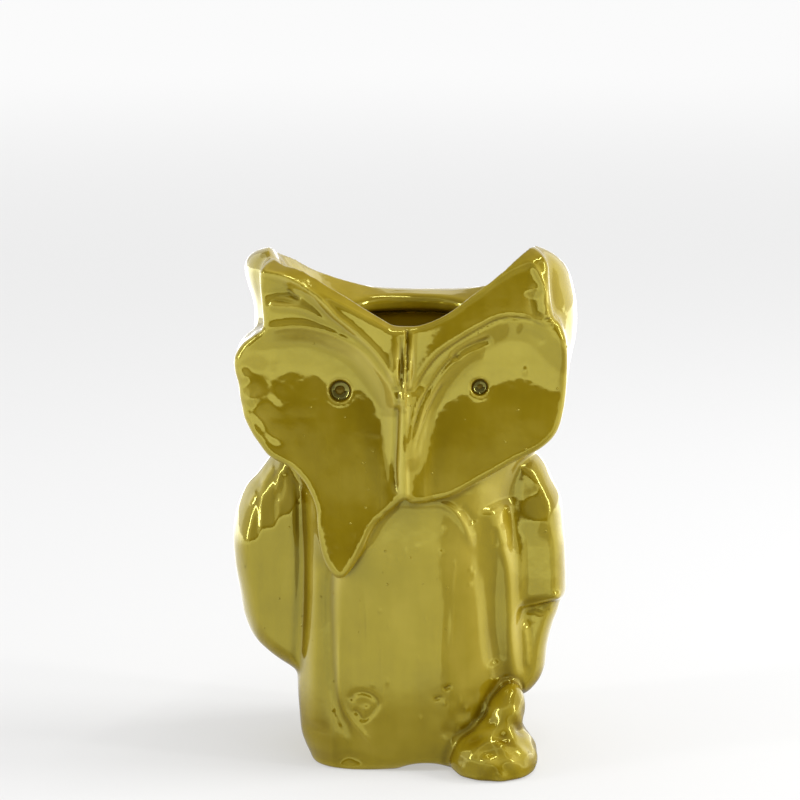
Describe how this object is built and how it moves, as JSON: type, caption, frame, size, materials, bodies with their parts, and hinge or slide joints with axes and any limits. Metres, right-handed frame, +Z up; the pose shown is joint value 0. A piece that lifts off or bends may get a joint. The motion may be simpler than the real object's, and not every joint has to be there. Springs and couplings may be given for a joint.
{
  "type": "owl figurine vase",
  "caption": "Standing owl in olive-glazed ceramic with heart-shaped face, folded wings and a round mouth behind its brow that opens into a hollow body.",
  "frame": {"origin": "on the surface that the owl stands on, under the middle of its outer box", "axes": "+Z up through the head; the owl faces -Y; +X is the right-hand side of someone who faces the owl"},
  "size_m": [0.1317, 0.1034, 0.2],
  "materials": {
    "olive_glaze": "high-gloss transparent olive glaze, hand-modelled surface",
    "pooled_glaze": "the same glaze pooled thick and dark"
  },
  "bodies": {
    "root": {"body_vessel": "olive_glaze", "neck_rim": "olive_glaze", "beak_ridge": "olive_glaze", "belly_panel": "olive_glaze", "wing_tip_right": "olive_glaze", "tail": "olive_glaze", "brow_left": "olive_glaze", "brow_right": "olive_glaze", "ear_left": "olive_glaze", "ear_right": "olive_glaze", "face_disc_left": "olive_glaze", "face_disc_right": "olive_glaze", "eye_left": "pooled_glaze", "eye_right": "pooled_glaze", "leg_left": "olive_glaze", "leg_right": "olive_glaze", "foot_left": "olive_glaze", "foot_right": "olive_glaze", "wing_left": "olive_glaze", "wing_right": "olive_glaze"}
  },
  "joints": []
}
